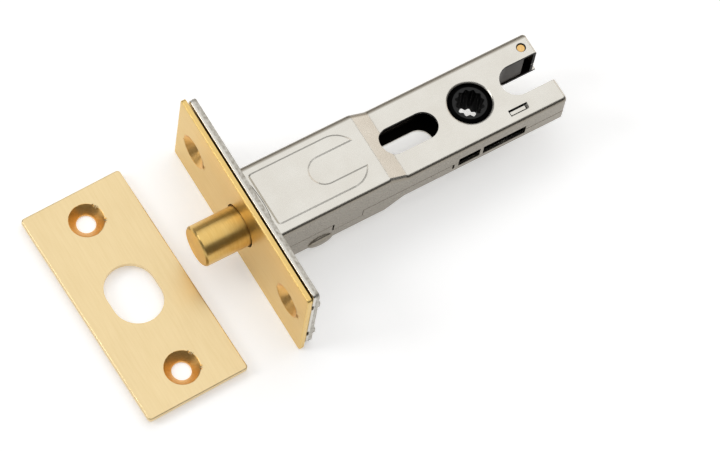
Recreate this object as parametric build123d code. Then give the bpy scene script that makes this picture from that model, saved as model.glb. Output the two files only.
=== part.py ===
from build123d import *

import os
from math import atan2, cos, radians, tan

# Privacy bolt: a tubular door bolt worked by a square spindle, with its forend and its strike plate.
# X runs from the door's edge into the door, Y along the door's edge and Z up, as the bolt lies on a table.
# The origin is the middle of the brass cover's front face, on the bolt's own axis. Millimetres and degrees.

# Screw fixings, shared by the forend and the strike plate
screw_spacing = 42.0
screw_hole_radius = 2.3
countersink_radius = 4.2
countersink_rim_round = 0.3
dimple_wall = 0.9
dimple_depth = 2.6

# Forend: a brass cover over a steel plate
cover_length = 57.0
cover_width = 26.0
cover_thickness = 1.2
cover_corner = 0.8
cover_edge_round = 0.35
cover_bolt_clearance = 0.4
forend_gap = 0.6
plate_length = 55.9
plate_width = 25.0
plate_thickness = 1.7
plate_corner = 1.2
plate_edge_round = 0.35
plate_bolt_clearance = 0.2
plate_screw_hole_radius = 2.6
nest_clearance = 0.15
pip_radius = 1.1
pip_depth = 0.5
pip_offset = 7.0
pip_edge_distance = 0.5

# Case: two pressed shells that meet at a seam along both sides
sheet = 0.8
bend_radius = 1.2
case_half_width = 9.7
front_half_height = 7.75
rear_half_height = 5.05
joggle_start = 33.5
joggle_end = 38.3
crease_radius = 1.5
case_rear = 81.15
rear_round = 0.9
seam_height = -0.9
seam_gap = 0.18
rear_lip = 0.85
rear_lip_inset = 1.0

# Tabs that hold the shells in the forend plate
tab_inner = 5.2
tab_outer = 7.8
tab_clearance = 0.05
tab_recess = 0.1

# Details pressed and cut in the shells
emboss_front = 5.4
emboss_rear = 31.4
emboss_half_width = 7.15
emboss_height = 0.25
emboss_slope = 60.0
emboss_rear_corner = 5.9
emboss_front_corner = 0.9
emboss_tongue_radius = 3.35
emboss_tongue_centre = 21.4
step_rear = 5.3
step_depth = 0.3
step_half_width = 5.1
step_radius = 28.0
interlock_front = 19.3
interlock_rear = 26.9
interlock_bottom = -3.5
interlock_slit = 0.4
slit_front = 50.8
slit_rear = 51.3
slit_bottom = -2.9
window_front = 52.4
window_rear_inset = 10.75
window_bottom = -2.6
window_top = 0.8
window_post_centre = 58.55
window_post_width = 0.9
bulge_centre_x = 16.0
bulge_centre_z = -5.9
bulge_half_length = 3.3
bulge_half_height = 2.0
bulge_height = 0.75
lance_rear_inset = 9.05
lance_length = 5.0
lance_far = -6.0
lance_near = -7.6
lance_slit = 0.3
lance_side_slit = 0.3
lance_drop = 0.5
lance_bend = 0.4
lance_ramp = 0.8

# Screw slot and rear notch, open right through the case
slot_front = 36.6
slot_rear = 51.5
slot_width = 7.0
notch_inset = 8.1
notch_radius = 3.95
liner_recess = 0.25
liner_thickness = 0.9
liner_inset = 3.15
pin_inset = 2.8
pin_y = 6.55
pin_radius = 0.95
pin_clearance = 0.2
pin_fit = 0.02
pin_recess = 0.35

# Follower, turned by a square spindle
backset = 60.5
boss_radius = 4.95
boss_half_height = 4.85
boss_chamfer = 0.95
boss_chamfer_height = 0.65
boss_clearance = 0.1
collar_roll = 0.85
collar_depth = 1.15
hub_radius = 5.3
hub_gap = 0.1
spindle_square = 5.1
spindle_corner_radius = 3.45
star_squares = 3
finger_radius = 7.78
finger_angle = 225.0
finger_half_width = 0.65
finger_tip_radius = 0.8
finger_half_height = 1.6

# Bolt and what carries it
bolt_radius = 5.0
bolt_projection = 11.4
bolt_rear = 22.0
bolt_nose_chamfer = 0.45
bolt_travel = 11.0
bolt_flat_start = 12.5
bolt_flat_height = -2.2
groove_x = 20.0
groove_radius = 0.8
groove_depth = 0.5
guide_length = 8.0
guide_clearance = 0.08
guide_case_gap = 0.1
guide_corner = 0.3

# Steel tail that joins the bolt to the follower's finger
tail_thickness = 1.5
tail_front = 13.0
tail_tongue_half_width = 3.8
tail_half_width = 8.5
tail_bridge_front = 20.8
tail_bridge_rear = 24.3
tail_leg_inner = 5.6
tail_corner = 0.6
lug_thickness = 1.5
lug_top = 1.9
lug_play = 0.65
lug_relief = 0.2
rivet_places = (15.4, 18.6)
rivet_radius = 1.25
rivet_head_radius = 1.5
rivet_head_height = 0.7
rivet_depth = 2.9
rivet_clearance = 0.02

# Leaf spring over the bolt
spring_thickness = 0.4
spring_half_width = 2.6
spring_half_span = 7.4
spring_foot = 2.4
spring_crest_gap = 0.15
spring_bend = 1.2

# Strike plate, lying flat in front of the forend
strike_length = 57.0
strike_width = 26.0
strike_thickness = 1.3
strike_corner = 0.8
strike_edge_round = 0.35
strike_x = -26.51
strike_y = 0.63
strike_turn = 1.41
strike_hole_width = 12.2
strike_hole_length = 15.2

# Places that follow from the sizes above
screw_places = (-screw_spacing / 2, screw_spacing / 2)
plate_front = cover_thickness + forend_gap
plate_rear = plate_front + plate_thickness
case_front = plate_rear
inner_half_width = case_half_width - sheet
inner_front_height = front_half_height - sheet
inner_rear_height = rear_half_height - sheet
floor_height = -cover_width / 2
finger_x = backset + finger_radius * cos(radians(finger_angle))
notch_centre = case_rear - notch_inset
liner_rear = case_rear - liner_inset
pin_x = case_rear - pin_inset
lance_rear = case_rear - lance_rear_inset
lance_front = lance_rear - lance_length
window_rear = case_rear - window_rear_inset
through = 4 * front_half_height
over = 1.0


def box(x_low, x_high, y_low, y_high, z_low, z_high):
    """A box between two corners."""
    centre = ((x_low + x_high) / 2, (y_low + y_high) / 2, (z_low + z_high) / 2)
    return Pos(*centre) * Box(x_high - x_low, y_high - y_low, z_high - z_low)


def rod(radius, x_low, x_high):
    """A round bar along X, on the bolt's axis."""
    return Pos((x_low + x_high) / 2, 0, 0) * Rot(0, 90, 0) * Cylinder(radius, x_high - x_low)


def column(radius, x, y, z_low, z_high):
    """A round bar along Z."""
    return Pos(x, y, (z_low + z_high) / 2) * Cylinder(radius, z_high - z_low)


def both_sides(shape):
    """A shape and its mirror image on the other side of the case."""
    return shape + mirror(shape, about=Plane.XZ)


def above_and_below(shape):
    """A shape and its mirror image under the case."""
    return shape + mirror(shape, about=Plane.XY)


def facing_screw(y):
    """A place on the forend's front face at one screw, with +Z pointing into the door."""
    return Plane(origin=(0, y, 0), x_dir=(0, 1, 0), z_dir=(1, 0, 0))


def dimple_cone(growth, bottom):
    """The back of a pressed countersink, from its plate's front face down to a depth, grown sideways."""
    wide = countersink_radius + dimple_wall + growth
    return Cone(wide, wide - bottom, bottom, align=(Align.CENTER, Align.CENTER, Align.MIN))


def countersink():
    """What a screw's countersink and hole take away, from a plate's front face down."""
    depth = countersink_radius - screw_hole_radius
    cone = Cone(
        countersink_radius + over,
        screw_hole_radius,
        depth + over,
        align=(Align.CENTER, Align.CENTER, Align.MIN),
    )
    return Pos(0, 0, -over) * cone + Cylinder(screw_hole_radius, through)


def circles_at(shape, radius, axis, place):
    """The round edges of one radius that lie at one place along an axis."""
    found = shape.edges().filter_by(GeomType.CIRCLE)
    found = found.filter_by(lambda edge: abs(edge.radius - radius) < 0.001)
    return found.filter_by_position(axis, place - 0.001, place + 0.001)


def forend_cover():
    """The brass cover that shows in the door's edge, with two pressed countersinks."""
    outline = RectangleRounded(cover_length, cover_width, cover_corner)
    cover = extrude(Plane.YZ * outline, cover_thickness)
    cover = fillet(cover.faces().sort_by(Axis.X)[0].edges(), cover_edge_round)
    for y in screw_places:
        cover += facing_screw(y) * dimple_cone(0, dimple_depth)
    for y in screw_places:
        cover -= facing_screw(y) * countersink()
    cover -= rod(bolt_radius + cover_bolt_clearance, -through, through)
    return fillet(circles_at(cover, countersink_radius, Axis.X, 0), countersink_rim_round)


def forend_plate():
    """The steel plate behind the cover, with slots for the case's tabs and four half-pierced pips."""
    outline = RectangleRounded(plate_length, plate_width, plate_corner)
    blank = extrude(Plane.YZ.offset(plate_front) * outline, plate_thickness)
    plate = fillet(blank.faces().sort_by(Axis.X)[0].edges(), plate_edge_round)
    pip_y = plate_length / 2 - pip_edge_distance
    for y in (-pip_y, pip_y):
        for z in (-pip_offset, pip_offset):
            pip = Pos(0, y, z) * rod(pip_radius, plate_rear - pip_depth, plate_rear + pip_depth)
            limit = Pos(pip_depth, 0, 0) * blank
            plate += pip & limit
            plate -= Pos(0, y, z) * rod(pip_radius, plate_front - pip_depth, plate_front + pip_depth)
    nest_depth = countersink_radius + dimple_wall + nest_clearance - plate_screw_hole_radius
    for y in screw_places:
        plate -= facing_screw(y) * dimple_cone(nest_clearance, nest_depth)
        plate -= facing_screw(y) * Cylinder(plate_screw_hole_radius, through)
    plate -= rod(bolt_radius + plate_bolt_clearance, -through, through)
    slot = box(
        plate_front - over,
        plate_rear + over,
        tab_inner - tab_clearance,
        tab_outer + tab_clearance,
        inner_front_height - tab_clearance,
        front_half_height + tab_clearance,
    )
    return plate - above_and_below(both_sides(slot))


def case_block(inset, front, rear):
    """The case's outside, or with an inset its inside, as one block with rounded long edges."""
    slope = atan2(front_half_height - rear_half_height, joggle_end - joggle_start)
    shift = inset * tan(slope / 2)
    high = front_half_height - inset
    low = rear_half_height - inset
    half_width = case_half_width - inset
    top = FilletPolyline(
        (front, high),
        (joggle_start - shift, high),
        (joggle_end - shift, low),
        (rear, low),
        radius=[crease_radius - inset, crease_radius + inset],
    )
    ends = Line((front, high), (front, -high)) + Line((rear, low), (rear, -low))
    side = make_face(top + ends + mirror(top, about=Plane.XZ))
    block = extrude(Plane.XZ * side, half_width, both=True)
    sides = block.faces().filter_by(Axis.Y)
    long_edges = sides.edges().filter_by(lambda edge: edge.bounding_box().size.X > 0.1)
    block = fillet(long_edges, bend_radius - inset)
    return fillet(block.faces().sort_by(Axis.X)[-1].edges(), rear_round - inset)


def follower_collar():
    """The rolled lip round the follower's hole in the top shell, as a ring round Z."""
    bore = boss_radius + boss_clearance
    rolled = bore + collar_roll
    join = rolled + sheet / 4
    foot = rear_half_height - collar_depth
    start = (rolled, rear_half_height)
    end = (bore, rear_half_height - collar_roll)
    roll = RadiusArc(start, end, -collar_roll)
    rest = Polyline(
        end,
        (bore, foot),
        (bore + sheet, foot),
        (bore + sheet, inner_rear_height),
        (join, inner_rear_height),
        (join, rear_half_height),
        start,
    )
    return Pos(backset, 0, 0) * revolve(Plane.XZ * make_face(roll + rest), Axis.Z)


def slot_prism():
    """The round-ended screw slot, as what it takes away."""
    radius = slot_width / 2
    front = slot_front + radius
    rear = slot_rear - radius
    middle = box(front, rear, -radius, radius, -through, through)
    ends = column(radius, front, 0, -through, through) + column(radius, rear, 0, -through, through)
    return middle + ends


def notch_prism(radius, rear, half_height):
    """A U open to the rear, with its round end on the notch's centre."""
    length = rear - notch_centre
    outline = Pos(notch_centre, 0) * Circle(radius)
    outline += Pos(notch_centre + length / 2, 0) * Rectangle(length, 2 * radius)
    return extrude(outline, half_height, both=True)


def both_shells():
    """The whole case as one thin wall, with everything that is cut alike above and below."""
    outside = case_block(0, case_front, case_rear)
    inside = case_block(sheet, case_front - through, case_rear - sheet)
    case = outside - inside
    bore = boss_radius + boss_clearance + collar_roll
    case -= column(bore, backset, 0, -through, through)
    case += above_and_below(follower_collar())
    case -= slot_prism()
    case -= notch_prism(notch_radius, case_rear + through, through)
    window = box(window_front, window_rear, 0, through, window_bottom, window_top)
    return case - both_sides(window)


def case_tab():
    """One tab at the front edge of the top shell, which goes through the forend plate."""
    return box(
        plate_front + tab_recess,
        case_front + sheet,
        tab_inner,
        tab_outer,
        inner_front_height,
        front_half_height,
    )


def front_step():
    """What is taken off the top shell's front edge, in a shallow arc, where it meets the forend plate."""
    low = front_half_height - step_depth
    arc = column(step_radius, step_rear - step_radius, 0, low, through)
    return arc & box(0, step_rear, -step_half_width, step_half_width, low, through)


def emboss_outline():
    """The raised field on the top shell: a rounded plate with a tongue left flat, open to the rear."""
    length = emboss_rear - emboss_front
    field = Pos(emboss_front + length / 2, 0) * Rectangle(length, 2 * emboss_half_width)
    field = fillet(field.vertices().group_by(Axis.X)[-1], emboss_rear_corner)
    field = fillet(field.vertices().group_by(Axis.X)[0], emboss_front_corner)
    tongue = Pos(emboss_tongue_centre, 0) * Circle(emboss_tongue_radius)
    tongue += Pos(emboss_tongue_centre + length / 2, 0) * Rectangle(length, 2 * emboss_tongue_radius)
    return field - tongue


def interlock(growth, slit):
    """The wall of the upper shell that reaches down into the lower one, on both sides."""
    return both_sides(
        box(
            interlock_front - slit,
            interlock_rear + growth,
            inner_half_width - growth,
            case_half_width + growth,
            interlock_bottom - growth,
            seam_height + seam_gap,
        )
    )


def strip_section(x, drop):
    """The lanced strip's section at one place along X: bent down by a drop at its near edge, then level."""
    level = lance_near + lance_bend
    far = lance_far - lance_side_slit
    section = Polygon(
        (lance_near, rear_half_height),
        (level, rear_half_height - drop),
        (far, rear_half_height - drop),
        (far, inner_rear_height - drop),
        (level, inner_rear_height - drop),
        (lance_near, inner_rear_height),
        align=None,
    )
    return Plane.YZ.offset(x) * section


def lanced_strip():
    """The strip in the near prong's top, cut free at its front and far side and pressed down to a ramp."""
    front = lance_front + lance_slit
    ramp = lance_rear - lance_ramp
    strip = loft([strip_section(front, lance_drop), strip_section(ramp, lance_drop)])
    return strip + loft([strip_section(ramp, lance_drop), strip_section(lance_rear, 0)])


def upper_case_shell():
    """The shell that shows from above, with the raised field and the lanced strip."""
    half_gap = seam_gap / 2
    keep = box(0, case_rear + over, -through, through, seam_height + half_gap, through)
    shell = both_shells() & (keep + interlock(0, 0))
    shell += extrude(Plane.XY.offset(front_half_height) * emboss_outline(), emboss_height, taper=emboss_slope)
    recess = offset(emboss_outline(), -sheet / 2)
    shell -= extrude(Plane.XY.offset(inner_front_height) * recess, emboss_height)
    shell += both_sides(case_tab())
    shell -= front_step()
    shell -= column(pin_radius + pin_clearance, pin_x, pin_y, 0, through)
    shell -= box(lance_front, lance_rear, lance_near, lance_far, 0, through)
    return shell + lanced_strip()


def side_bulge():
    """The shallow round bulge pressed out of the lower shell's side, low down near the front."""
    ball = scale(Sphere(1), by=(bulge_half_length, bulge_height, bulge_half_height))
    return Pos(bulge_centre_x, case_half_width, bulge_centre_z) * ball


def lower_case_shell():
    """The shell underneath, with the posts in its side windows and the lips at its rear end."""
    half_gap = seam_gap / 2
    keep = box(0, case_rear + over, -through, through, -through, seam_height - half_gap)
    shell = both_shells() & keep
    shell -= interlock(half_gap, interlock_slit)
    post = box(
        window_post_centre - window_post_width / 2,
        window_post_centre + window_post_width / 2,
        inner_half_width,
        case_half_width,
        window_bottom - sheet,
        window_top,
    )
    shell += both_sides(post)
    slit = box(slit_front, slit_rear, 0, through, slit_bottom, seam_height)
    shell -= both_sides(slit)
    shell += both_sides(side_bulge() - case_block(sheet, case_front, case_rear))
    lip = box(
        case_rear - sheet,
        case_rear + rear_lip,
        notch_radius,
        case_half_width - rear_lip_inset - bend_radius / 2,
        -rear_half_height,
        -inner_rear_height,
    )
    shell += both_sides(lip)
    shell -= column(pin_radius + pin_fit, pin_x, pin_y, -through, 0)
    return shell + mirror(both_sides(case_tab()), about=Plane.XY)


def bolt_guide():
    """The nylon block behind the forend plate that the bolt slides in."""
    half_width = inner_half_width - guide_case_gap
    half_height = inner_front_height - guide_case_gap
    outline = RectangleRounded(2 * half_width, 2 * half_height, guide_corner)
    block = extrude(Plane.YZ.offset(plate_rear) * outline, guide_length)
    return block - rod(bolt_radius + guide_clearance, 0, through)


def notch_liner():
    """The steel band that lines the rear notch between the two shells."""
    inner = notch_radius + liner_recess
    outer = inner + liner_thickness
    band = notch_prism(outer, liner_rear, inner_rear_height)
    return band - notch_prism(inner, liner_rear + through, through)


def rear_pin():
    """The brass pin in the far prong: tight in the lower shell, and a little below the top of the upper one."""
    return column(pin_radius, pin_x, pin_y, -rear_half_height, rear_half_height - pin_recess)


def bolt():
    """The round brass bolt, milled flat underneath for its tail and grooved on top for the spring."""
    bar = rod(bolt_radius, -bolt_projection, bolt_rear)
    bar = chamfer(bar.edges().filter_by(GeomType.CIRCLE).sort_by(Axis.X)[0], bolt_nose_chamfer)
    bar -= box(bolt_flat_start, bolt_rear + over, -through, through, -through, bolt_flat_height)
    groove = Rot(90, 0, 0) * Cylinder(groove_radius, through)
    for x in (groove_x, groove_x - bolt_travel):
        bar -= Pos(x, 0, bolt_radius + groove_radius - groove_depth) * groove
    for x in rivet_places:
        top = bolt_flat_height + rivet_depth + rivet_clearance
        bar -= column(rivet_radius + rivet_clearance, x, 0, -through, top)
    return bar


def tail_outline():
    """The flat shape of the tail: a tongue under the bolt, a bridge and two legs."""
    leg_rear = finger_x + finger_tip_radius + lug_play + lug_thickness
    half = Polyline(
        (tail_front, 0),
        (tail_front, tail_tongue_half_width),
        (tail_bridge_front, tail_tongue_half_width),
        (tail_bridge_front, tail_half_width),
        (leg_rear, tail_half_width),
        (leg_rear, tail_leg_inner),
        (tail_bridge_rear, tail_leg_inner),
        (tail_bridge_rear, 0),
    )
    return make_face(half + mirror(half, about=Plane.XZ))


def bolt_tail():
    """The steel fork under the bolt, with two lugs on its near leg for the follower's finger."""
    bottom = bolt_flat_height - tail_thickness
    tail = extrude(Plane.XY.offset(bottom) * tail_outline(), tail_thickness)
    tail = fillet(tail.edges().filter_by(Axis.Z).group_by(Axis.X)[0], tail_corner)
    reach = finger_tip_radius + lug_play
    lug_inner = -tail_leg_inner - lug_relief
    for x in (finger_x - reach - lug_thickness, finger_x + reach):
        tail += box(x, x + lug_thickness, -tail_half_width, lug_inner, bottom, lug_top)
    for x in rivet_places:
        tail -= column(rivet_radius + rivet_clearance, x, 0, -through, through)
    return tail


def tail_rivets():
    """The two rivets that hold the tail up against the bolt's flat."""
    head_top = bolt_flat_height - tail_thickness
    rivets = []
    for x in rivet_places:
        shank = column(rivet_radius, x, 0, head_top, bolt_flat_height + rivet_depth)
        rivets.append(shank + column(rivet_head_radius, x, 0, head_top - rivet_head_height, head_top))
    return Compound(children=rivets)


def spindle_star():
    """The twelve-pointed hole that takes a square spindle every thirty degrees."""
    star = Rectangle(spindle_square, spindle_square)
    for turn in range(1, star_squares):
        star += Rot(0, 0, turn * 90 / star_squares) * Rectangle(spindle_square, spindle_square)
    return star & Circle(spindle_corner_radius)


def follower():
    """The nylon follower with its two bosses, its star hole and the finger that moves the bolt."""
    hub_half_height = rear_half_height - collar_depth - hub_gap
    wall_half_height = boss_half_height - boss_chamfer_height
    top = Cone(
        boss_radius,
        boss_radius - boss_chamfer,
        boss_chamfer_height,
        align=(Align.CENTER, Align.CENTER, Align.MIN),
    )
    boss = Cylinder(boss_radius, 2 * wall_half_height) + above_and_below(Pos(0, 0, wall_half_height) * top)
    finger = box(0, finger_radius, -finger_half_width, finger_half_width, -finger_half_height, finger_half_height)
    finger += column(finger_tip_radius, finger_radius, 0, -finger_half_height, finger_half_height)
    turned = boss + Cylinder(hub_radius, 2 * hub_half_height) + Rot(0, 0, finger_angle) * finger
    turned -= extrude(spindle_star(), through, both=True)
    return Pos(backset, 0, 0) * turned


def detent_spring():
    """The bent leaf spring between the top shell and the bolt, whose crest marks the bolt's two stops."""
    front_top = inner_front_height + emboss_height
    rear_top = inner_front_height
    front = groove_x - spring_half_span
    rear = groove_x + spring_half_span
    crest = bolt_radius + spring_crest_gap + spring_thickness
    upper = FilletPolyline(
        (front, front_top),
        (front + spring_foot, front_top),
        (groove_x, crest),
        (rear - spring_foot, rear_top),
        (rear, rear_top),
        radius=spring_bend,
    )
    lower = Pos(0, -spring_thickness) * upper
    ends = Line(upper @ 0, lower @ 0) + Line(upper @ 1, lower @ 1)
    return extrude(Plane.XZ * make_face(upper + lower + ends), spring_half_width, both=True)


def strike_plate():
    """The brass strike plate, flat on the ground on its two pressed countersinks."""
    outline = RectangleRounded(strike_width, strike_length, strike_corner)
    strike = extrude(outline, -strike_thickness)
    strike = fillet(strike.faces().sort_by(Axis.Z)[-1].edges(), strike_edge_round)
    down = Rot(180, 0, 0)
    for y in screw_places:
        strike += Pos(0, y, 0) * down * dimple_cone(0, dimple_depth)
    for y in screw_places:
        strike -= Pos(0, y, 0) * down * countersink()
    hole = SlotOverall(strike_hole_length, strike_hole_width, rotation=90)
    strike -= extrude(hole, through, both=True)
    strike = fillet(circles_at(strike, countersink_radius, Axis.Z, 0), countersink_rim_round)
    return Pos(strike_x, strike_y, floor_height + dimple_depth) * Rot(0, 0, strike_turn) * strike


nodes = {
    "forend_cover": forend_cover,
    "forend_plate": forend_plate,
    "upper_case_shell": upper_case_shell,
    "lower_case_shell": lower_case_shell,
    "bolt_guide": bolt_guide,
    "notch_liner": notch_liner,
    "rear_pin": rear_pin,
    "detent_spring": detent_spring,
    "bolt": bolt,
    "bolt_tail": bolt_tail,
    "tail_rivets": tail_rivets,
    "follower": follower,
    "strike_plate": strike_plate,
}

os.makedirs("parts", exist_ok=True)
for name, make in nodes.items():
    export_step(make(), f"parts/{name}.step")
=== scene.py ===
import math

import bmesh
import bpy
from bpy.props import FloatProperty, FloatVectorProperty, IntProperty, PointerProperty
from mathutils import Euler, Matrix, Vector


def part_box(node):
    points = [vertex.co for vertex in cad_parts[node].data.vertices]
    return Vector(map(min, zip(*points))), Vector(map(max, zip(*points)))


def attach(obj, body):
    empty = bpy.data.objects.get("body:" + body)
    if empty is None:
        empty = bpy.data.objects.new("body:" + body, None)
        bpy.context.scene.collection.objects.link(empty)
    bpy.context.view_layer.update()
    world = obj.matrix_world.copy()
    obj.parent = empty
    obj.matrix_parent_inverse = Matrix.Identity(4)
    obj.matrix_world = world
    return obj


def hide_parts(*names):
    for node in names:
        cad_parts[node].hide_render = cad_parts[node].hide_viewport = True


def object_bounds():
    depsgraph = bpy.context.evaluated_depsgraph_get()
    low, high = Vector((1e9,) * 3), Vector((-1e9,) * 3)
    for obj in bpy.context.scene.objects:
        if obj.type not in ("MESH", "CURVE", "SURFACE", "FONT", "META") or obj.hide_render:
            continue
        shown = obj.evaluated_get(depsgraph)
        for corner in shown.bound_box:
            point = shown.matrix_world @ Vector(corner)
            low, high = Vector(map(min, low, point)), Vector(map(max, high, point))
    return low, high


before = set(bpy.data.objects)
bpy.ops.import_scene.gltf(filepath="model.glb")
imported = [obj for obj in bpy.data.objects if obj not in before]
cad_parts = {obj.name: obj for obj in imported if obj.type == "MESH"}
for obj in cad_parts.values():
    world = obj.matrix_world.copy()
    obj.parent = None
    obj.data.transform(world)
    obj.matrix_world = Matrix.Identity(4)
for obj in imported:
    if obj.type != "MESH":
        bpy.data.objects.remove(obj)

bl_info = {
    "name": "Privacy Bolt",
    "version": (1, 0, 0),
    "blender": (4, 5, 0),
    "location": "3D View > Sidebar > Privacy Bolt",
    "description": "Finishes a tubular privacy bolt with its strike plate, and sets up its studio",
    "category": "Object",
}

MM = 0.001
CAD_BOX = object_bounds()
FLOOR_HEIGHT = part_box("strike_plate")[0].z
PART_MIDDLE = (Vector(CAD_BOX[0]) + Vector(CAD_BOX[1])) / 2

# The photograph's camera: where it stands, how it is turned and its lens
CAMERA_PLACE = (-264.31 * MM, -337.16 * MM, 897.19 * MM)
CAMERA_TURN = (25.307, -5.211, -30.773)
CAMERA_LENS = 220.38 * MM
SENSOR_WIDTH = 36.0

# Places on the case, the forend and the strike plate that the finish goes by
SHEET_DEPTH = 0.6 * MM
CASE_HALF_WIDTH = 9.7 * MM
CASE_REAR = 81.15 * MM
FRONT_HALF_HEIGHT = 7.75 * MM
REAR_HALF_HEIGHT = 5.05 * MM
JOGGLE = (33.5 * MM, 38.3 * MM)
BURNISH = (2.4 * MM, 2.6 * MM)
SCREW_SINK = 4.35 * MM
SCREW_SPACING = 42.0 * MM
STRIKE_SCREWS = ((-27.027 * MM, 21.624 * MM), (-25.993 * MM, -20.364 * MM))

# The painted shade band on the shells' sides comes on between these distances from a line that lies
# a little to the near side of the middle, so it reaches further in over the far bend
SIDE_WALL = (8.55 * MM, 9.0 * MM)
SIDE_SHADE_SHIFT = 0.35 * MM

# How much of a face's normal lies along an axis: less than this means that the face isn't
# level with a broad face, slopes down into a countersink, or stands up from the sheet
LEVEL = 0.9
SLOPED = 0.95
UPRIGHT = 0.5

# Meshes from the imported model: points this close are one, faces this flat are one, and edges
# this sharp get a soft round; the widest faces then set how the rounds beside them are shaded
MERGE_DISTANCE = 0.002 * MM
FLAT_ANGLE = math.radians(0.5)
SHARP_ANGLE = math.radians(24.0)
WIDE_FACES_FIRST = 90

# Patterns at their real size: clouds in the lacquer and in the plating
BRASS_CLOUD = 9 * MM
STEEL_CLOUD = 7 * MM

# Patterns drawn coarser than the real ones, which are under 0.1 mm and would not show
BRUSH_LINE = 0.5 * MM
CUTTER_RING = 0.15 * MM
LATHE_RING = 0.3 * MM
SHEET_GRIT = 0.4 * MM
TORN_GRAIN = 0.5 * MM
MOULD_SPARK = 0.3 * MM

# How a pattern is stretched along X, Y and Z: a smaller number draws it out further
EVEN = (1, 1, 1)
BRUSHED_ALONG_Y = (1, 0.06, 1)
DRAWN_ALONG_Z = (1, 1, 0.2)
ROUND_THE_SCREW = (0.3, 0.3, 1)
ROUND_THE_BOLT = (1, 0.1, 0.1)
ROLLED_ALONG_X = (0.6, 1, 1)
TORN_ACROSS = (1, 0.6, 0.6)

# Noise keeps mostly to this range, and each finer layer of it is this much weaker
NOISE_RANGE = {"From Min": 0.3, "From Max": 0.7}
NOISE_FALLOFF = 0.6

# A Mix node's colour sockets share their names with others, so they go by number
MIX_FACTOR, MIX_FIRST, MIX_SECOND, MIX_RESULT = 0, 6, 7, 2

# The studio's lamps: from the part towards each, how far away it stands and how large it is
OVERHEAD = {"direction": (0.18, 0.13, 1.0), "distance": 1.0, "width": 1.7, "height": 1.85}
REAR = {"direction": (0.93, 0.35, 0.28), "distance": 1.0, "width": 0.8, "height": 0.5}
FAR_WALL = {"direction": (0.25, 0.95, 0.2), "distance": 1.2, "width": 1.6, "height": 0.5}
WINDOW = {"direction": (-0.75, 0.35, 0.62), "distance": 1.1, "width": 0.4, "height": 0.4}


def linear(hex_colour):
    """An sRGB hex colour as linear red, green, blue and alpha."""
    channels = [int(hex_colour[i : i + 2], 16) / 255 for i in (1, 3, 5)]
    straight = [c / 12.92 if c <= 0.04045 else ((c + 0.055) / 1.055) ** 2.4 for c in channels]
    return (*straight, 1.0)


def add_node(tree, kind, inputs=None, **settings):
    """Adds one node; inputs maps its sockets to values or to the sockets that feed them."""
    node = tree.nodes.new(kind)
    for name, value in settings.items():
        setattr(node, name, value)
    for name, value in (inputs or {}).items():
        if isinstance(value, bpy.types.NodeSocket):
            tree.links.new(value, node.inputs[name])
        else:
            node.inputs[name].default_value = value
    return node


def new_material(name, constants):
    """A material with its tree, its object coordinates, and its shader set to some constants."""
    material = bpy.data.materials.new(name)
    material.use_nodes = True
    tree = material.node_tree
    tree.nodes.clear()
    place = add_node(tree, "ShaderNodeTexCoord").outputs["Object"]
    shader = add_node(tree, "ShaderNodeBsdfPrincipled", constants)
    add_node(tree, "ShaderNodeOutputMaterial", {"Surface": shader.outputs["BSDF"]})
    return material, tree, place, shader


def grain(tree, place, stretch, size, detail=3.0):
    """Noise of one size in metres, drawn out along some axes into lines or rings."""
    scaled = add_node(tree, "ShaderNodeMapping", {"Vector": place, "Scale": stretch})
    inputs = {"Scale": 1 / size, "Detail": detail, "Roughness": NOISE_FALLOFF}
    inputs["Vector"] = scaled.outputs["Vector"]
    return add_node(tree, "ShaderNodeTexNoise", inputs).outputs["Fac"]


def mottled(tree, noise, tones):
    """A colour that wanders with a noise from the second of two tones to the first."""
    ranged = add_node(tree, "ShaderNodeMapRange", {"Value": noise, **NOISE_RANGE})
    inputs = {MIX_FACTOR: ranged.outputs["Result"], MIX_FIRST: tones[1], MIX_SECOND: tones[0]}
    return add_node(tree, "ShaderNodeMix", inputs, data_type="RGBA").outputs[MIX_RESULT]


def texture(tree, shader, colour, rough, height, depth):
    """Gives a shader its colour, its roughness and a surface that rises and falls by a depth."""
    bump = add_node(tree, "ShaderNodeBump", {"Height": height, "Strength": 1.0, "Distance": depth})
    tree.links.new(colour, shader.inputs["Base Color"])
    tree.links.new(rough, shader.inputs["Roughness"])
    tree.links.new(bump.outputs["Normal"], shader.inputs["Normal"])


def brushed_brass(name, tones, stretch, roughness):
    """Rolled brass sheet, brushed in one direction and lacquered: warm, satin, with fine lines."""
    material, tree, place, shader = new_material(name, {"Metallic": 1.0})
    lines = grain(tree, place, stretch, BRUSH_LINE)
    clouds = grain(tree, place, EVEN, BRASS_CLOUD, 2.0)
    ends = {"To Min": roughness - 0.02, "To Max": roughness + 0.02}
    rough = add_node(tree, "ShaderNodeMapRange", {"Value": clouds, **NOISE_RANGE, **ends})
    colour = mottled(tree, lines, tones)
    texture(tree, shader, colour, rough.outputs["Result"], lines, 0.003 * MM)
    return material


def cut_brass():
    """Countersinks cut in the sheet: bare brass, deeper in colour, with the cutter's rings."""
    name = "cut brass of the countersinks"
    if name in bpy.data.materials:
        return bpy.data.materials[name]
    material, tree, place, shader = new_material(name, {"Metallic": 1.0})
    rings = grain(tree, place, ROUND_THE_SCREW, CUTTER_RING, 2.0)
    ends = {"To Min": 0.32, "To Max": 0.4}
    rough = add_node(tree, "ShaderNodeMapRange", {"Value": rings, **NOISE_RANGE, **ends})
    colour = mottled(tree, rings, (linear("#F0C27A"), linear("#E4B264")))
    texture(tree, shader, colour, rough.outputs["Result"], rings, 0.002 * MM)
    return material


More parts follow.
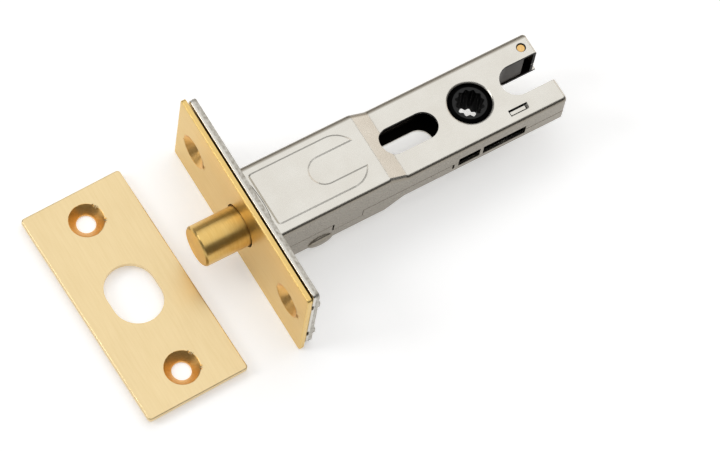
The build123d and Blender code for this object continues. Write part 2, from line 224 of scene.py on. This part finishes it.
def turned_brass(name, tones, roughness):
    """Brass bar from the lathe: fine rings round it draw each highlight out along the bolt."""
    constants = {"Metallic": 1.0, "Anisotropic": 0.6, "Anisotropic Rotation": 0.25}
    material, tree, place, shader = new_material(name, constants)
    rings = grain(tree, place, ROUND_THE_BOLT, LATHE_RING)
    apart = add_node(tree, "ShaderNodeSeparateXYZ", {"Vector": place}).outputs
    down = add_node(tree, "ShaderNodeMath", {0: apart["Z"], 1: -1.0}, operation="MULTIPLY")
    around = add_node(tree, "ShaderNodeCombineXYZ", {"Y": down.outputs[0], "Z": apart["Y"]})
    tree.links.new(around.outputs["Vector"], shader.inputs["Tangent"])
    ends = {"To Min": roughness - 0.03, "To Max": roughness + 0.03}
    rough = add_node(tree, "ShaderNodeMapRange", {"Value": rings, **NOISE_RANGE, **ends})
    colour = mottled(tree, rings, tones)
    texture(tree, shader, colour, rough.outputs["Result"], rings, 0.001 * MM)
    return material


def plated_steel(name, tones, roughness, depth, side_shade=None):
    """Pressed steel, thinly plated: pale satin grey, faintly clouded, with painted shade on its
    sides if asked.
    """
    material, tree, place, shader = new_material(name, {"Metallic": 1.0})
    clouds = grain(tree, place, EVEN, STEEL_CLOUD)
    grit = grain(tree, place, ROLLED_ALONG_X, SHEET_GRIT, 2.0)
    colour = mottled(tree, clouds, tones)
    if side_shade:
        # Painted shade and reflection: the sides and the far bend turn to a darker colour, as if
        # mirroring a dark floor
        apart = add_node(tree, "ShaderNodeSeparateXYZ", {"Vector": place}).outputs
        inputs = {0: apart["Y"], 1: SIDE_SHADE_SHIFT}
        across = add_node(tree, "ShaderNodeMath", inputs, operation="ADD").outputs[0]
        across = add_node(tree, "ShaderNodeMath", {0: across}, operation="ABSOLUTE").outputs[0]
        inputs = {"Value": across, "From Min": SIDE_WALL[0], "From Max": SIDE_WALL[1]}
        side = add_node(tree, "ShaderNodeMapRange", inputs).outputs["Result"]
        inputs = {MIX_FACTOR: side, MIX_FIRST: colour, MIX_SECOND: side_shade}
        colour = add_node(tree, "ShaderNodeMix", inputs, data_type="RGBA").outputs[MIX_RESULT]
    ends = {"To Min": roughness - 0.01, "To Max": roughness + 0.01}
    rough = add_node(tree, "ShaderNodeMapRange", {"Value": grit, **NOISE_RANGE, **ends})
    texture(tree, shader, colour, rough.outputs["Result"], grit, depth)
    return material


def punched_edge(name, bright, torn):
    """A punched edge of thick plated steel: burnished in front, torn and grainy behind."""
    material, tree, place, shader = new_material(name, {"Metallic": 1.0})
    along = add_node(tree, "ShaderNodeSeparateXYZ", {"Vector": place}).outputs["X"]
    reach = {"Value": along, "From Min": BURNISH[0], "From Max": BURNISH[1]}
    behind = add_node(tree, "ShaderNodeMapRange", reach).outputs["Result"]
    grit = grain(tree, place, TORN_ACROSS, TORN_GRAIN)
    behind_colour = mottled(tree, grit, (bright, torn))
    inputs = {MIX_FACTOR: behind, MIX_FIRST: bright, MIX_SECOND: behind_colour}
    colour = add_node(tree, "ShaderNodeMix", inputs, data_type="RGBA").outputs[MIX_RESULT]
    rough = add_node(tree, "ShaderNodeMapRange", {**reach, "To Min": 0.25, "To Max": 0.45})
    height = add_node(tree, "ShaderNodeMath", {0: behind, 1: grit}, operation="MULTIPLY")
    texture(tree, shader, colour, rough.outputs["Result"], height.outputs[0], 0.05 * MM)
    return material


def moulded_nylon(name, tones, sheen):
    """Black nylon as it leaves the mould: very dark, with a low even sheen and a fine texture."""
    material, tree, place, shader = new_material(name, {"Specular IOR Level": sheen})
    spark = grain(tree, place, EVEN, MOULD_SPARK, 2.0)
    ends = {"To Min": 0.42, "To Max": 0.55}
    rough = add_node(tree, "ShaderNodeMapRange", {"Value": spark, **NOISE_RANGE, **ends})
    colour = mottled(tree, spark, tones)
    texture(tree, shader, colour, rough.outputs["Result"], spark, 0.004 * MM)
    return material


def studio_paper(name, colour, lift):
    """Matt white paper, with a little light of its own that only shows where it is looked at."""
    constants = {"Base Color": colour, "Roughness": 0.9, "Specular IOR Level": 0.1}
    constants["Emission Color"] = linear("#FFFFFF")
    material, tree, _, shader = new_material(name, constants)
    path = add_node(tree, "ShaderNodeLightPath").outputs
    looked_at = path["Is Camera Ray"]
    for ray in ("Is Glossy Ray", "Is Transmission Ray"):
        inputs = {0: looked_at, 1: path[ray]}
        looked_at = add_node(tree, "ShaderNodeMath", inputs, operation="ADD").outputs[0]
    glow = add_node(tree, "ShaderNodeMath", {0: looked_at, 1: lift}, operation="MULTIPLY")
    tree.links.new(glow.outputs[0], shader.inputs["Emission Strength"])
    return material


def merged_copy(node):
    """The mesh of a CAD node with its loose triangles joined and its flat faces made whole."""
    shape = bmesh.new()
    shape.from_mesh(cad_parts[node].data)
    bmesh.ops.remove_doubles(shape, verts=shape.verts, dist=MERGE_DISTANCE)
    bmesh.ops.dissolve_limit(
        shape,
        angle_limit=FLAT_ANGLE,
        use_dissolve_boundaries=False,
        verts=shape.verts,
        edges=shape.edges,
        delimit=set(),
    )
    return shape


def soften_edges(shape, width, segments):
    """Rounds every sharp edge of a shape by a small width, as a press or a tumbler leaves it."""
    sharp = [
        edge
        for edge in shape.edges
        if len(edge.link_faces) == 2 and edge.calc_face_angle(0) > SHARP_ANGLE
    ]
    bmesh.ops.bevel(
        shape,
        geom=sharp,
        offset=width,
        offset_type="OFFSET",
        affect="EDGES",
        segments=segments,
        profile=0.5,
        material=-1,
        clamp_overlap=False,
    )


def inside_case(face):
    """Whether a face of a shell looks into the case, or is a cut edge in its top: these get painted
    shade.
    """
    middle = face.calc_center_median()
    share = (middle.x - JOGGLE[0]) / (JOGGLE[1] - JOGGLE[0])
    top = FRONT_HALF_HEIGHT - (FRONT_HALF_HEIGHT - REAR_HALF_HEIGHT) * min(max(share, 0), 1)
    under = abs(middle.z) < top - SHEET_DEPTH
    cut = middle.z > 0 and abs(face.normal.z) < UPRIGHT
    within_sides = abs(middle.y) < CASE_HALF_WIDTH - SHEET_DEPTH
    within_rear = middle.x < CASE_REAR - SHEET_DEPTH
    return within_sides and within_rear and (under or cut)


def on_rim(face):
    """Whether a face of the forend plate lies on its punched rim, square to its broad faces."""
    return abs(face.normal.x) < LEVEL


def off_level(face):
    """Whether a face of a nylon piece is anything but its level top or bottom: these get painted
    shade.
    """
    return abs(face.normal.z) < LEVEL


def in_forend_sink(face):
    """Whether a face of the brass cover is inside one of its two countersinks."""
    middle = face.calc_center_median()
    away = math.hypot(abs(middle.y) - SCREW_SPACING / 2, middle.z)
    return away < SCREW_SINK and abs(face.normal.x) < SLOPED


def in_strike_sink(face):
    """Whether a face of the strike plate is inside one of its two countersinks."""
    middle = face.calc_center_median()
    away = min(math.hypot(middle.x - x, middle.y - y) for x, y in STRIKE_SCREWS)
    return away < SCREW_SINK and abs(face.normal.z) < SLOPED


def finished_piece(name, shape, materials):
    """Makes an object from a shape, smooth but for its sharp edges, with flat faces kept flat."""
    mesh = bpy.data.meshes.new(name)
    shape.to_mesh(mesh)
    shape.free()
    for attribute in [a for a in mesh.attributes if a.name == "custom_normal"]:
        mesh.attributes.remove(attribute)
    mesh.polygons.foreach_set("use_smooth", [True] * len(mesh.polygons))
    mesh.set_sharp_from_angle(angle=SHARP_ANGLE)
    for material in materials:
        mesh.materials.append(material)
    piece = bpy.data.objects.new(name, mesh)
    bpy.context.scene.collection.objects.link(piece)
    weighted = piece.modifiers.new("flat faces stay flat", "WEIGHTED_NORMAL")
    weighted.keep_sharp = True
    weighted.weight = WIDE_FACES_FIRST
    return piece


def soft_piece(node, body, slot, materials, width, segments, second=None):
    """A CAD node with its sharp edges softened; a rule may give some faces a second finish."""
    shape = merged_copy(node)
    soften_edges(shape, width, segments)
    for face in shape.faces:
        face.material_index = 1 if second and second(face) else 0
    piece = finished_piece(node + "_finished", shape, materials)
    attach(piece, body)
    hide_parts(node)


def edge_setting(name, description, default):
    """The width of a soft round."""
    return FloatProperty(
        name=name, description=description, default=default, min=0.0, unit="LENGTH"
    )


def light_setting(name, description, default):
    """A brightness or strength of the studio's light."""
    return FloatProperty(name=name, description=description, default=default, min=0.0)


def colour_setting(name, description, hex_colour):
    """A colour that can be picked."""
    return FloatVectorProperty(
        name=name,
        description=description,
        default=linear(hex_colour),
        subtype="COLOR",
        size=4,
        min=0.0,
        max=1.0,
    )


class PrivacyBoltEdges(bpy.types.PropertyGroup):
    """How far the sharp edges of the pieces are rounded."""

    sheet_round: edge_setting("Sheet edges", "Round on the edges of the sheet metal", 0.07 * MM)
    moulded_round: edge_setting("Moulded edges", "Round on the nylon pieces' edges", 0.08 * MM)
    turned_round: edge_setting("Turned edges", "Round on the turned brass's edges", 0.08 * MM)
    leaf_round: edge_setting("Leaf edges", "Round on the leaf spring's edges", 0.05 * MM)
    segments: IntProperty(
        name="Segments",
        description="How many faces make up a rounded edge",
        default=2,
        min=1,
        max=6,
    )


class PrivacyBoltColours(bpy.types.PropertyGroup):
    """The two tones between which each finish that shows wanders."""

    forend: colour_setting("Forend brass", "Brushed brass of the forend cover", "#E8C882")
    forend_shade: colour_setting("Forend shade", "Darker lines in that brass", "#E2C077")
    strike: colour_setting("Strike brass", "Brushed brass of the strike plate", "#EBD4A5")
    strike_shade: colour_setting("Strike shade", "Darker lines in that brass", "#E6CE9D")
    bolt: colour_setting("Bolt brass", "Turned brass of the bolt", "#E4C27A")
    bolt_shade: colour_setting("Bolt shade", "Darker rings in that brass", "#DAB468")
    plate: colour_setting("Nickel", "Nickel plating of the forend plate", "#D5D0C6")
    plate_shade: colour_setting("Nickel shade", "Darker clouds in the nickel", "#C9C4B9")
    case: colour_setting("Case steel", "Zinc-plated steel of the shells", "#DBD8D0")
    case_shade: colour_setting("Case shade", "Darker clouds in the zinc", "#D5D1C8")
    # Painted shade: the darker colour given to the shells' sides and far bend
    case_side_shade: colour_setting("Side shade steel", "Sides darkened as painted shade", "#968F83")
    nylon: colour_setting("Nylon", "Black nylon of the follower and the guide", "#0B0B0B")
    nylon_shade: colour_setting("Nylon shade", "Darker specks in the nylon", "#080808")


class PrivacyBoltStudio(bpy.types.PropertyGroup):
    """The floor and the light round the part; at a brightness of 1, a lamp mirrors as white."""

    floor_size: FloatProperty(
        name="Floor size",
        description="Side of the square floor",
        default=3.0,
        min=0.5,
        unit="LENGTH",
    )
    floor_lift: light_setting("Floor lift", "Light that the floor adds where looked at", 0.33)
    sky_strength: light_setting("Sky", "Strength of the even light from all round", 0.13)
    overhead: light_setting("Overhead", "Brightness of the large softbox over the part", 1.0)
    rear: light_setting("Rear", "Brightness of the low softbox behind the case", 0.95)
    far_wall: light_setting("Far wall", "Brightness of the wall that the bends mirror", 0.35)
    window: light_setting("Window", "Brightness of the small lamp before the forend", 5.0)
    floor_colour: colour_setting("Floor colour", "Colour of the paper on the floor", "#FAFAFA")
    sky_colour: colour_setting("Sky colour", "Colour of the even light", "#FFFFFF")
    rear_colour: colour_setting("Rear colour", "Colour of the rear softbox, warm", "#FFF6EC")


class PRIVACY_BOLT_OT_forend(bpy.types.Operator):
    """Finish the brass forend cover and the nickel-plated steel plate behind it"""

    bl_idname = "privacy_bolt.forend"
    bl_label = "Forend"

    def execute(self, context):
        edges = context.scene.privacy_bolt_edges
        colours = context.scene.privacy_bolt_colours
        tones = (colours.forend, colours.forend_shade)
        brass = brushed_brass("brushed brass sheet forend", tones, BRUSHED_ALONG_Y, 0.38)
        tones = (colours.plate, colours.plate_shade)
        nickel = plated_steel("nickel plated steel", tones, roughness=0.3, depth=0.002 * MM)
        tones = (linear("#D2CFC7"), linear("#9A9488"))
        rim = punched_edge("punched edge of the steel plate", *tones)
        cover = ("forend_cover", "case", "satin_brass", [brass, cut_brass()])
        soft_piece(*cover, edges.sheet_round, edges.segments, in_forend_sink)
        plate = ("forend_plate", "case", "nickel_plated_steel", [nickel, rim])
        soft_piece(*plate, edges.sheet_round, edges.segments, on_rim)
        return {"FINISHED"}


class PRIVACY_BOLT_OT_case(bpy.types.Operator):
    """Finish the two pressed shells of the case, with painted shade on their insides"""

    bl_idname = "privacy_bolt.case"
    bl_label = "Case shells"

    def execute(self, context):
        edges = context.scene.privacy_bolt_edges
        colours = context.scene.privacy_bolt_colours
        name, tones = "zinc plated pressed steel", (colours.case, colours.case_shade)
        # The side colour paints shade onto the shells' sides and far bend
        steel = plated_steel(name, tones, 0.27, 0.0003 * MM, side_shade=colours.case_side_shade)
        # Painted shade: the shells' insides and top cut edges, plated steel like the rest, are
        # painted near black
        name = "inside of the shells, painted dark as shade"
        tones = (linear("#1E1B17"), linear("#14120F"))
        painted_shade_steel = plated_steel(name, tones, roughness=0.5, depth=0.003 * MM)
        for node in ("upper_case_shell", "lower_case_shell"):
            shell = (node, "case", "plated_case_steel", [steel, painted_shade_steel])
            soft_piece(*shell, edges.sheet_round, edges.segments, inside_case)
        return {"FINISHED"}


class PRIVACY_BOLT_OT_bolt(bpy.types.Operator):
    """Finish the round brass bolt and the brass pin in the far prong"""

    bl_idname = "privacy_bolt.bolt"
    bl_label = "Bolt and pin"

    def execute(self, context):
        edges = context.scene.privacy_bolt_edges
        colours = context.scene.privacy_bolt_colours
        brass = turned_brass("turned brass bar", (colours.bolt, colours.bolt_shade), 0.34)
        tones = (linear("#E8C080"), linear("#DAAE6C"))
        wire = brushed_brass("brass pin wire", tones, DRAWN_ALONG_Z, 0.25)
        for node, body, material in (("bolt", "bolt", brass), ("rear_pin", "case", wire)):
            piece = (node, body, "polished_brass", [material])
            soft_piece(*piece, edges.turned_round, edges.segments)
        return {"FINISHED"}


class PRIVACY_BOLT_OT_works(bpy.types.Operator):
    """Finish the pieces inside the case: guide, follower, liner, tail, rivets and spring"""

    bl_idname = "privacy_bolt.works"
    bl_label = "Works"

    def execute(self, context):
        edges = context.scene.privacy_bolt_edges
        colours = context.scene.privacy_bolt_colours
        tones = (colours.nylon, colours.nylon_shade)
        nylon = moulded_nylon("moulded black nylon", tones, sheen=0.35)
        # Painted shade: the off-level faces, such as the chamfer and star hole, lose their sheen
        # and darken
        name = "nylon with painted shade on the edges and the hole"
        shade_nylon = moulded_nylon(name, (linear("#060606"), linear("#040404")), sheen=0.02)
        tones = (linear("#3F3A34"), linear("#322D28"))
        steel = plated_steel("plain dark steel", tones, roughness=0.4, depth=0.002 * MM)
        tones = (linear("#9A9A9A"), linear("#8A8A8A"))
        spring = plated_steel("tempered spring steel", tones, roughness=0.25, depth=0.002 * MM)
        for node, body in (("bolt_guide", "case"), ("follower", "follower")):
            piece = (node, body, "black_nylon", [nylon, shade_nylon])
            soft_piece(*piece, edges.moulded_round, edges.segments, off_level)
        for node, body in (("notch_liner", "case"), ("bolt_tail", "bolt"), ("tail_rivets", "bolt")):
            soft_piece(node, body, "dark_steel", [steel], edges.sheet_round, edges.segments)
        leaf = ("detent_spring", "case", "spring_steel", [spring])
        soft_piece(*leaf, edges.leaf_round, edges.segments)
        return {"FINISHED"}


class PRIVACY_BOLT_OT_strike(bpy.types.Operator):
    """Finish the brass strike plate"""

    bl_idname = "privacy_bolt.strike"
    bl_label = "Strike plate"

    def execute(self, context):
        edges = context.scene.privacy_bolt_edges
        colours = context.scene.privacy_bolt_colours
        tones = (colours.strike, colours.strike_shade)
        brass = brushed_brass("brushed brass sheet strike", tones, BRUSHED_ALONG_Y, 0.34)
        strike = ("strike_plate", "case", "satin_brass", [brass, cut_brass()])
        soft_piece(*strike, edges.sheet_round, edges.segments, in_strike_sink)
        return {"FINISHED"}


def make_floor(size, material):
    """The flat floor that the part lies on."""
    shape = bmesh.new()
    bmesh.ops.create_grid(shape, x_segments=1, y_segments=1, size=size / 2)
    bmesh.ops.translate(shape, verts=shape.verts, vec=(0, 0, FLOOR_HEIGHT))
    mesh = bpy.data.meshes.new("studio_floor")
    shape.to_mesh(mesh)
    shape.free()
    mesh.materials.append(material)
    floor = bpy.data.objects.new("studio_floor", mesh)
    bpy.context.scene.collection.objects.link(floor)


def make_sky(scene, colour, strength):
    """Even light from all round."""
    world = bpy.data.worlds.new("studio sky")
    world.use_nodes = True
    tree = world.node_tree
    tree.nodes.clear()
    sky = add_node(tree, "ShaderNodeBackground", {"Color": colour, "Strength": strength})
    add_node(tree, "ShaderNodeOutputWorld", {"Surface": sky.outputs["Background"]})
    scene.world = world


def make_softbox(name, direction, distance, width, height, brightness, colour=(1, 1, 1)):
    """A soft lamp that faces the part; at a brightness of 1, a white mirror shows it as white."""
    lamp = bpy.data.lights.new(name, "AREA")
    lamp.shape = "RECTANGLE"
    lamp.size = width
    lamp.size_y = height
    lamp.energy = brightness * math.pi * width * height
    lamp.color = colour
    stand = bpy.data.objects.new(name, lamp)
    stand.location = PART_MIDDLE + Vector(direction).normalized() * distance
    stand.rotation_euler = Vector(direction).to_track_quat("Z", "Y").to_euler()
    bpy.context.scene.collection.objects.link(stand)


def make_camera(scene):
    """The photograph's camera."""
    lens = bpy.data.cameras.new("camera")
    lens.sensor_fit = "HORIZONTAL"
    lens.sensor_width = SENSOR_WIDTH
    lens.lens = CAMERA_LENS / MM
    camera = bpy.data.objects.new("camera", lens)
    camera.location = CAMERA_PLACE
    camera.rotation_euler = Euler([math.radians(angle) for angle in CAMERA_TURN], "XYZ")
    scene.collection.objects.link(camera)
    scene.camera = camera


class PRIVACY_BOLT_OT_stage(bpy.types.Operator):
    """Set up the floor, the light and the photograph's camera"""

    bl_idname = "privacy_bolt.stage"
    bl_label = "Stage"

    def execute(self, context):
        scene = context.scene
        studio = scene.privacy_bolt_studio
        scene.view_settings.view_transform = "Standard"
        paper = studio_paper("white paper", studio.floor_colour, studio.floor_lift)
        make_floor(studio.floor_size, paper)
        make_sky(scene, studio.sky_colour, studio.sky_strength)
        make_softbox("overhead softbox", brightness=studio.overhead, **OVERHEAD)
        warm = studio.rear_colour[:3]
        make_softbox("rear softbox", brightness=studio.rear, colour=warm, **REAR)
        make_softbox("far wall", brightness=studio.far_wall, **FAR_WALL)
        make_softbox("window lamp", brightness=studio.window, **WINDOW)
        make_camera(scene)
        return {"FINISHED"}


class PRIVACY_BOLT_PT_panel(bpy.types.Panel):
    """Lists the steps that build the finished bolt, and their settings"""

    bl_idname = "PRIVACY_BOLT_PT_panel"
    bl_label = "Privacy Bolt"
    bl_space_type = "VIEW_3D"
    bl_region_type = "UI"
    bl_category = "Privacy Bolt"

    def draw(self, context):
        scene = context.scene
        for operator in OPERATORS:
            self.layout.operator(operator.bl_idname)
        for name in SETTINGS:
            settings = getattr(scene, name)
            for setting in settings.__annotations__:
                self.layout.prop(settings, setting)


SETTINGS = {
    "privacy_bolt_edges": PrivacyBoltEdges,
    "privacy_bolt_colours": PrivacyBoltColours,
    "privacy_bolt_studio": PrivacyBoltStudio,
}
OPERATORS = (
    PRIVACY_BOLT_OT_forend,
    PRIVACY_BOLT_OT_case,
    PRIVACY_BOLT_OT_bolt,
    PRIVACY_BOLT_OT_works,
    PRIVACY_BOLT_OT_strike,
    PRIVACY_BOLT_OT_stage,
)


def register():
    """Adds the settings, the steps and the panel to Blender."""
    for item in (*SETTINGS.values(), *OPERATORS, PRIVACY_BOLT_PT_panel):
        bpy.utils.register_class(item)
    for name, settings in SETTINGS.items():
        setattr(bpy.types.Scene, name, PointerProperty(type=settings))


def unregister():
    """Takes the settings, the steps and the panel out of Blender again."""
    for name in SETTINGS:
        delattr(bpy.types.Scene, name)
    for item in reversed((*SETTINGS.values(), *OPERATORS, PRIVACY_BOLT_PT_panel)):
        bpy.utils.unregister_class(item)


def main():
    """Builds the part and its studio."""
    register()
    bpy.ops.privacy_bolt.forend()
    bpy.ops.privacy_bolt.case()
    bpy.ops.privacy_bolt.bolt()
    bpy.ops.privacy_bolt.works()
    bpy.ops.privacy_bolt.strike()
    bpy.ops.privacy_bolt.stage()


if __name__ == "__main__":
    main()
